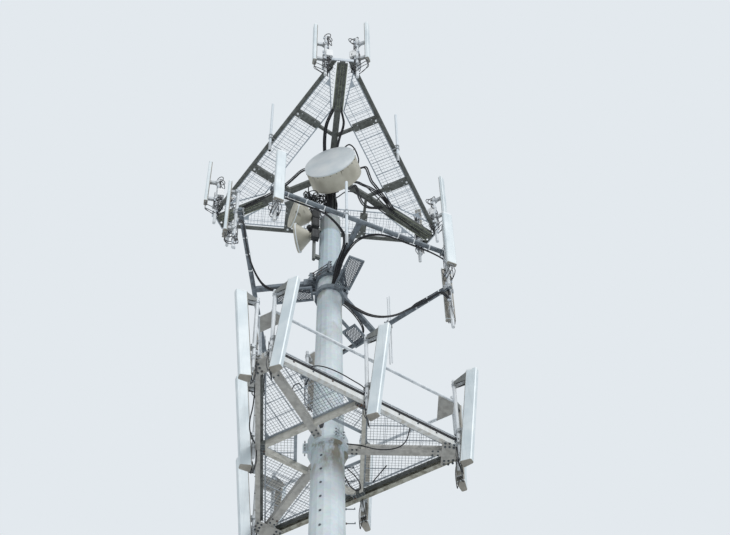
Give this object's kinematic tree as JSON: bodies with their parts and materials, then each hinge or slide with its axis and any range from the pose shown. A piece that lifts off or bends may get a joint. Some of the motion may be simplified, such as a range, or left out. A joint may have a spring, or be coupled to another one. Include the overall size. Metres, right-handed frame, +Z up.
{
  "type": "cell tower",
  "caption": "Tapered many-sided steel pole carrying two triangular antenna platforms and a ring of stand-off arms, with panel aerials, whips and dishes.",
  "frame": {"origin": "centre of the base flange's underside, at ground level on the pole's axis", "axes": "+Z up along the pole, +Y away from the picture's camera, +X to its right"},
  "size_m": [5.8404, 5.6769, 38.65],
  "materials": {
    "pole_steel": "pale grey coating over galvanised steel, slightly chalky",
    "dark_steel": "weathered galvanised steel, dull dark grey",
    "deck_steel": "weathered galvanised steel, dull beige grey",
    "panel_shell": "pale grey glass-fibre shell, matt",
    "whip_shell": "white glass-fibre tube, satin",
    "dish_shell": "cream painted shroud and white cover, matt",
    "radio_case": "pale grey painted case"
  },
  "bodies": {
    "root": {"arm_collar": "dark_steel", "arm_face_pipes": "dark_steel", "base_flange": "pole_steel", "big_dish": "dish_shell", "big_dish_mount": "dark_steel", "climbing_pegs": "dark_steel", "deck_antenna_pipes": "deck_steel", "deck_arms": "deck_steel", "deck_clamps": "deck_steel", "deck_collar": "deck_steel", "deck_corner_plates": "deck_steel", "deck_edge_back": "deck_steel", "deck_edge_front": "deck_steel", "deck_edge_left": "deck_steel", "deck_grating_far": "deck_steel", "deck_grating_inner": "deck_steel", "deck_grating_near": "deck_steel", "deck_grating_right": "deck_steel", "deck_gussets": "deck_steel", "deck_hand_rails": "deck_steel", "deck_inner_beams": "deck_steel", "deck_panels_back": "panel_shell", "deck_panels_front": "panel_shell", "deck_panels_left": "panel_shell", "deck_toe_rails": "deck_steel", "dish_pipe": "dark_steel", "dish_stays": "dark_steel", "pole_cap": "pole_steel", "pole_lower": "pole_steel", "pole_middle": "pole_steel", "pole_upper": "pole_steel", "rail_corner_plates": "deck_steel", "ring_antenna_pipes": "dark_steel", "ring_clamps": "dark_steel", "ring_panels_left": "panel_shell", "ring_panels_near": "panel_shell", "ring_panels_right": "panel_shell", "small_dish_lower": "dish_shell", "small_dish_upper": "dish_shell", "standoff_arms": "dark_steel", "step_collar": "dark_steel", "step_frames": "dark_steel", "top_antenna_pipes": "dark_steel", "top_arms": "dark_steel", "top_clamps": "dark_steel", "top_collar": "dark_steel", "top_corner_plates": "dark_steel", "top_face_pipes": "dark_steel", "top_grating_far": "dark_steel", "top_grating_left": "dark_steel", "top_grating_right": "dark_steel", "top_mast": "dark_steel", "top_panels_far": "panel_shell", "top_panels_left": "panel_shell", "top_panels_right": "panel_shell", "top_radio_boxes": "radio_case", "top_struts": "dark_steel", "whips": "whip_shell"}
  },
  "joints": []
}
